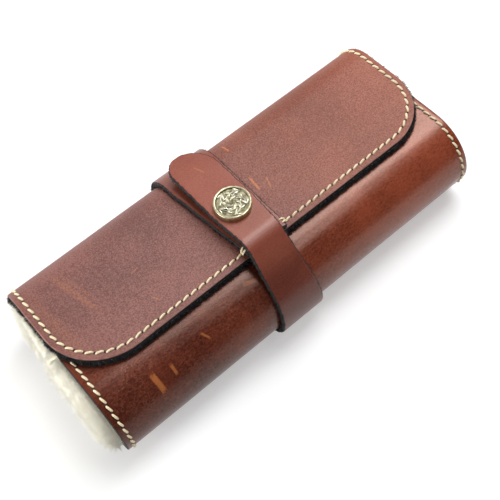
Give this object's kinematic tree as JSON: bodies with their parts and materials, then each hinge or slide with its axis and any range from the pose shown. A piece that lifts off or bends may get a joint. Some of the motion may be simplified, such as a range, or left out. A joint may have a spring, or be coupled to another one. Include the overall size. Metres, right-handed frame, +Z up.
{
  "type": "fountain pen case",
  "caption": "Folded leather pen case with a shearling lining, perimeter stitching, a rounded front flap and a wrap-round strap that closes with a snap.",
  "frame": {"origin": "middle of the case's footprint, on the table under the strap's bottom run", "axes": "+X along the case, -Y towards the front where the flap ends, +Z up"},
  "size_m": [0.188, 0.0812, 0.0518],
  "materials": {
    "case_leather": "oiled, semi-gloss",
    "strap_leather": "oiled, semi-gloss",
    "lining_skin": "suede",
    "wool": "fleece",
    "thread": "waxed thread",
    "antique_brass": "antiqued",
    "snap_brass": "satin",
    "spring_steel": "plain"
  },
  "bodies": {
    "base": {"base_leather": "case_leather", "base_lining_skin": "lining_skin", "base_wool": "wool", "base_stitching": "thread", "strap_under_run": "strap_leather"},
    "flap": {"flap_leather": "case_leather", "flap_lining_skin": "lining_skin", "flap_wool": "wool", "flap_stitching": "thread", "strap_sewn_run": "strap_leather", "strap_end_stitching": "thread", "snap_stud": "snap_brass", "snap_eyelet": "snap_brass"},
    "front": {"front_leather": "case_leather", "front_lining_skin": "lining_skin", "front_wool": "wool", "front_stitching": "thread"},
    "strap_front": {"strap_front_run": "strap_leather"},
    "strap_neck": {"strap_neck": "strap_leather"},
    "tongue": {"strap_tongue": "strap_leather", "snap_cap": "antique_brass", "snap_socket": "snap_brass", "snap_spring": "spring_steel"}
  },
  "joints": [
    {"name": "flap_open", "type": "hinge", "parent": "base", "child": "flap", "pos_m": [0, 0.0406, 0.0218], "axis": [-1, 0, 0], "range_deg": [0, 80]},
    {"name": "front_open", "type": "hinge", "parent": "base", "child": "front", "pos_m": [0, -0.0406, 0.0166], "axis": [1, 0, 0], "range_deg": [0, 74.5]},
    {"name": "strap_drop", "type": "hinge", "parent": "base", "child": "strap_front", "pos_m": [0, -0.0406, 0.0166], "axis": [1, 0, 0], "range_deg": [0, 120.1]},
    {"name": "strap_unroll", "type": "hinge", "parent": "strap_front", "child": "strap_neck", "pos_m": [0, -0.02163, 0.04642], "axis": [1, 0, 0], "range_deg": [0, 56.1]},
    {"name": "snap_release", "type": "hinge", "parent": "strap_neck", "child": "tongue", "pos_m": [0, -0.01539, 0.0492], "axis": [1, 0, 0], "range_deg": [0, 25]}
  ],
  "couplings": [
    {"joint": "front_open", "follows": "flap_open", "ratio": 0.93},
    {"joint": "strap_drop", "follows": "flap_open", "ratio": 1.5},
    {"joint": "strap_unroll", "follows": "flap_open", "ratio": 0.7}
  ]
}
